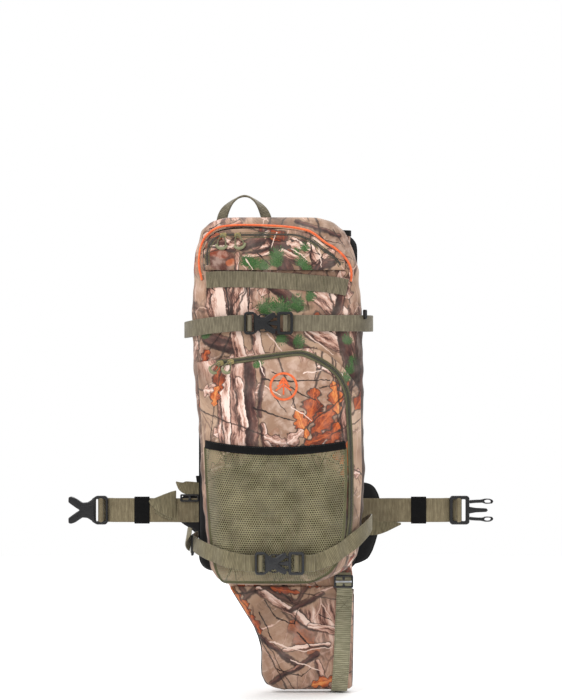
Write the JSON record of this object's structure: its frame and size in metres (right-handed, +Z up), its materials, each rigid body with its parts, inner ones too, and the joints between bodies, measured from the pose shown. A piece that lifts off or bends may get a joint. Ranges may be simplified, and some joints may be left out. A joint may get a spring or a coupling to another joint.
{
  "type": "hunting backpack",
  "caption": "Tall camouflage hunting pack with a front zip pocket, mesh pocket, compression straps, hip belt and a rifle sleeve that ends in a fold-down boot.",
  "frame": {"origin": "centre of the flat rear face of the middle back pad, where the wearer's back meets the pack", "axes": "+Z up, front of the pack faces -Y, the wearer is on the +Y side, +X to the right seen from the front"},
  "size_m": [0.6713, 0.2903, 0.7765],
  "materials": {
    "camo_cloth": "printed camouflage cloth, dull",
    "black_cloth": "black padded cloth",
    "black_foam_pad": "black spacer mesh over foam",
    "olive_webbing": "ribbed woven webbing",
    "olive_mesh": "open knit mesh",
    "black_plastic": "moulded, satin gloss",
    "grey_plastic": "moulded, satin gloss",
    "orange_piping": "corded piping",
    "frame_sheet_plastic": "stiff sheet",
    "pull_cord": "moulded cord grip",
    "zip_tape": "coil zip and its tape"
  },
  "bodies": {
    "pack": {"frame_sheet": "frame_sheet_plastic", "back_panel": "black_cloth", "back_pad_upper": "black_foam_pad", "back_pad_middle": "black_foam_pad", "lumbar_pad": "black_foam_pad", "rifle_sleeve": "camo_cloth", "main_bag": "camo_cloth", "front_pocket": "camo_cloth", "mesh_pocket": "olive_mesh", "mesh_binding": "black_cloth", "front_zip_tape": "zip_tape", "piping": "orange_piping", "daisy_webbing": "olive_webbing", "upper_strap_left": "olive_webbing", "upper_strap_right": "olive_webbing", "upper_buckle_female": "black_plastic", "lower_strap_left": "olive_webbing", "lower_strap_right": "olive_webbing", "lower_buckle_female": "black_plastic", "lower_ladder_lock": "black_plastic", "boot_ladder_lock": "grey_plastic", "shoulder_webbing_left": "olive_webbing", "shoulder_webbing_right": "olive_webbing"},
    "top_flap": {"top_flap": "camo_cloth", "top_zip_tape": "zip_tape"},
    "top_slider_a": {"top_slider_a": "zip_tape"},
    "top_pull_a": {"top_pull_a": "pull_cord"},
    "top_slider_b": {"top_slider_b": "zip_tape"},
    "top_pull_b": {"top_pull_b": "pull_cord"},
    "front_slider_a": {"front_slider_a": "zip_tape"},
    "front_pull_a": {"front_pull_a": "pull_cord"},
    "front_slider_b": {"front_slider_b": "zip_tape"},
    "front_pull_b": {"front_pull_b": "pull_cord"},
    "upper_buckle_male": {"upper_buckle_male": "black_plastic"},
    "upper_prong_upper": {"upper_prong_upper": "black_plastic"},
    "upper_prong_lower": {"upper_prong_lower": "black_plastic"},
    "lower_buckle_male": {"lower_buckle_male": "black_plastic"},
    "lower_prong_upper": {"lower_prong_upper": "black_plastic"},
    "lower_prong_lower": {"lower_prong_lower": "black_plastic"},
    "haul_handle": {"haul_handle": "olive_webbing"},
    "shoulder_left": {"shoulder_strap_left": "black_cloth", "shoulder_lock_left": "black_plastic"},
    "sternum_webbing_left": {"sternum_webbing_left": "olive_webbing"},
    "sternum_buckle_female": {"sternum_buckle_female": "black_plastic"},
    "shoulder_right": {"shoulder_strap_right": "black_cloth", "shoulder_lock_right": "black_plastic"},
    "sternum_webbing_right": {"sternum_webbing_right": "olive_webbing"},
    "sternum_buckle_male": {"sternum_buckle_male": "black_plastic"},
    "hip_fin_left": {"hip_fin_left": "black_foam_pad"},
    "belt_left": {"belt_webbing_left": "olive_webbing", "belt_buckle_female": "black_plastic"},
    "belt_keeper_left": {"belt_keeper_left": "black_cloth"},
    "hip_fin_right": {"hip_fin_right": "black_foam_pad"},
    "belt_right": {"belt_webbing_right": "olive_webbing", "belt_buckle_male": "black_plastic"},
    "belt_keeper_right": {"belt_keeper_right": "black_cloth"},
    "belt_prong_upper": {"belt_prong_upper": "black_plastic"},
    "belt_prong_lower": {"belt_prong_lower": "black_plastic"},
    "rifle_boot": {"rifle_boot": "camo_cloth", "boot_webbing": "olive_webbing"}
  },
  "joints": [
    {"name": "top_flap_open", "type": "hinge", "parent": "pack", "child": "top_flap", "pos_m": [0, -0.1555, 0.199], "axis": [1, 0, 0], "range_deg": [0, 110]},
    {"name": "top_slider_a_run", "type": "slide", "parent": "top_flap", "child": "top_slider_a", "axis": [1, 0, 0], "range_m": [-0.006, 0]},
    {"name": "top_pull_a_lift", "type": "hinge", "parent": "top_slider_a", "child": "top_pull_a", "pos_m": [-0.084, -0.15038, 0.254], "axis": [-1, 0, 0], "range_deg": [0, 100]},
    {"name": "top_slider_b_run", "type": "slide", "parent": "top_flap", "child": "top_slider_b", "axis": [1, 0, 0], "range_m": [0, 0.082]},
    {"name": "top_pull_b_lift", "type": "hinge", "parent": "top_slider_b", "child": "top_pull_b", "pos_m": [-0.062, -0.15038, 0.254], "axis": [-1, 0, 0], "range_deg": [0, 100]},
    {"name": "front_slider_a_run", "type": "slide", "parent": "pack", "child": "front_slider_a", "axis": [0.9915, 0, 0.1305], "range_m": [-0.005, 0]},
    {"name": "front_pull_a_lift", "type": "hinge", "parent": "front_slider_a", "child": "front_pull_a", "pos_m": [-0.088, -0.17619, 0.05779], "axis": [-1, 0, 0], "range_deg": [0, 80]},
    {"name": "front_slider_b_run", "type": "slide", "parent": "pack", "child": "front_slider_b", "axis": [0.9915, 0, 0.1305], "range_m": [0, 0.085]},
    {"name": "front_pull_b_lift", "type": "hinge", "parent": "front_slider_b", "child": "front_pull_b", "pos_m": [-0.072, -0.17619, 0.05989], "axis": [-1, 0, 0], "range_deg": [0, 80]},
    {"name": "upper_buckle_release", "type": "slide", "parent": "pack", "child": "upper_buckle_male", "axis": [1, 0, 0], "range_m": [0, 0.03], "deforming": ["upper_strap_right"]},
    {"name": "upper_prong_upper_squeeze", "type": "hinge", "parent": "upper_buckle_male", "child": "upper_prong_upper", "pos_m": [-0.0016, -0.1615, 0.128], "axis": [0, -1, 0], "range_deg": [0, 6], "stiffness_Nm_per_rad": 0.05},
    {"name": "upper_prong_lower_squeeze", "type": "hinge", "parent": "upper_buckle_male", "child": "upper_prong_lower", "pos_m": [-0.0016, -0.1615, 0.108], "axis": [0, 1, 0], "range_deg": [0, 6]},
    {"name": "lower_buckle_release", "type": "slide", "parent": "pack", "child": "lower_buckle_male", "axis": [1, 0, 0], "range_m": [0, 0.03], "deforming": ["lower_strap_right"]},
    {"name": "lower_prong_upper_squeeze", "type": "hinge", "parent": "lower_buckle_male", "child": "lower_prong_upper", "pos_m": [0.0154, -0.19483, -0.237], "axis": [0, -1, 0], "range_deg": [0, 6], "stiffness_Nm_per_rad": 0.05},
    {"name": "lower_prong_lower_squeeze", "type": "hinge", "parent": "lower_buckle_male", "child": "lower_prong_lower", "pos_m": [0.0154, -0.19483, -0.257], "axis": [0, 1, 0], "range_deg": [0, 6]},
    {"name": "haul_handle_fold", "type": "hinge", "parent": "pack", "child": "haul_handle", "pos_m": [-0.052, -0.026, 0.2608], "axis": [1, 0, 0], "range_deg": [-35, 60]},
    {"name": "shoulder_left_swing", "type": "hinge", "parent": "pack", "child": "shoulder_left", "pos_m": [-0.048, -0.009, 0.262], "axis": [1, 0, 0], "range_deg": [0, 30], "deforming": ["shoulder_webbing_left"]},
    {"name": "sternum_left_slide", "type": "slide", "parent": "shoulder_left", "child": "sternum_webbing_left", "axis": [0, 0, 1], "range_m": [-0.02, 0.06]},
    {"name": "sternum_left_swing", "type": "hinge", "parent": "sternum_webbing_left", "child": "sternum_buckle_female", "pos_m": [-0.06, 0.0876, 0.061], "axis": [0, -1, 0], "range_deg": [0, 90]},
    {"name": "shoulder_right_swing", "type": "hinge", "parent": "pack", "child": "shoulder_right", "pos_m": [0.048, -0.009, 0.262], "axis": [1, 0, 0], "range_deg": [0, 30], "deforming": ["shoulder_webbing_right"]},
    {"name": "sternum_right_slide", "type": "slide", "parent": "shoulder_right", "child": "sternum_webbing_right", "axis": [0, 0, 1], "range_m": [-0.02, 0.06]},
    {"name": "sternum_right_swing", "type": "hinge", "parent": "sternum_webbing_right", "child": "sternum_buckle_male", "pos_m": [0.06, 0.0876, 0.061], "axis": [0, 1, 0], "range_deg": [0, 90]},
    {"name": "hip_fin_left_wrap", "type": "hinge", "parent": "pack", "child": "hip_fin_left", "pos_m": [-0.093, -0.009, -0.197], "axis": [0, 0, -1], "range_deg": [0, 90]},
    {"name": "belt_left_bend", "type": "hinge", "parent": "hip_fin_left", "child": "belt_left", "pos_m": [-0.165, -0.012, -0.177], "axis": [0, 0, -1], "range_deg": [-80, 25]},
    {"name": "belt_keeper_left_slide", "type": "slide", "parent": "belt_left", "child": "belt_keeper_left", "axis": [-1, 0, 0], "range_m": [-0.028, 0.022]},
    {"name": "hip_fin_right_wrap", "type": "hinge", "parent": "pack", "child": "hip_fin_right", "pos_m": [0.093, -0.009, -0.197], "axis": [0, 0, 1], "range_deg": [0, 90]},
    {"name": "belt_right_bend", "type": "hinge", "parent": "hip_fin_right", "child": "belt_right", "pos_m": [0.165, -0.012, -0.177], "axis": [0, 0, 1], "range_deg": [-80, 25]},
    {"name": "belt_keeper_right_slide", "type": "slide", "parent": "belt_right", "child": "belt_keeper_right", "axis": [1, 0, 0], "range_m": [-0.028, 0.022]},
    {"name": "belt_prong_upper_squeeze", "type": "hinge", "parent": "belt_right", "child": "belt_prong_upper", "pos_m": [0.30258, -0.012, -0.163], "axis": [0, 1, 0], "range_deg": [0, 6], "stiffness_Nm_per_rad": 0.08},
    {"name": "belt_prong_lower_squeeze", "type": "hinge", "parent": "belt_right", "child": "belt_prong_lower", "pos_m": [0.30258, -0.012, -0.189], "axis": [0, -1, 0], "range_deg": [0, 6]},
    {"name": "boot_fold", "type": "hinge", "parent": "pack", "child": "rifle_boot", "pos_m": [0, -0.0875, -0.2955], "axis": [-1, 0, 0], "range_deg": [0, 85]}
  ],
  "couplings": [
    {"joint": "upper_prong_lower_squeeze", "follows": "upper_prong_upper_squeeze", "ratio": 1},
    {"joint": "lower_prong_lower_squeeze", "follows": "lower_prong_upper_squeeze", "ratio": 1},
    {"joint": "belt_prong_lower_squeeze", "follows": "belt_prong_upper_squeeze", "ratio": 1}
  ]
}
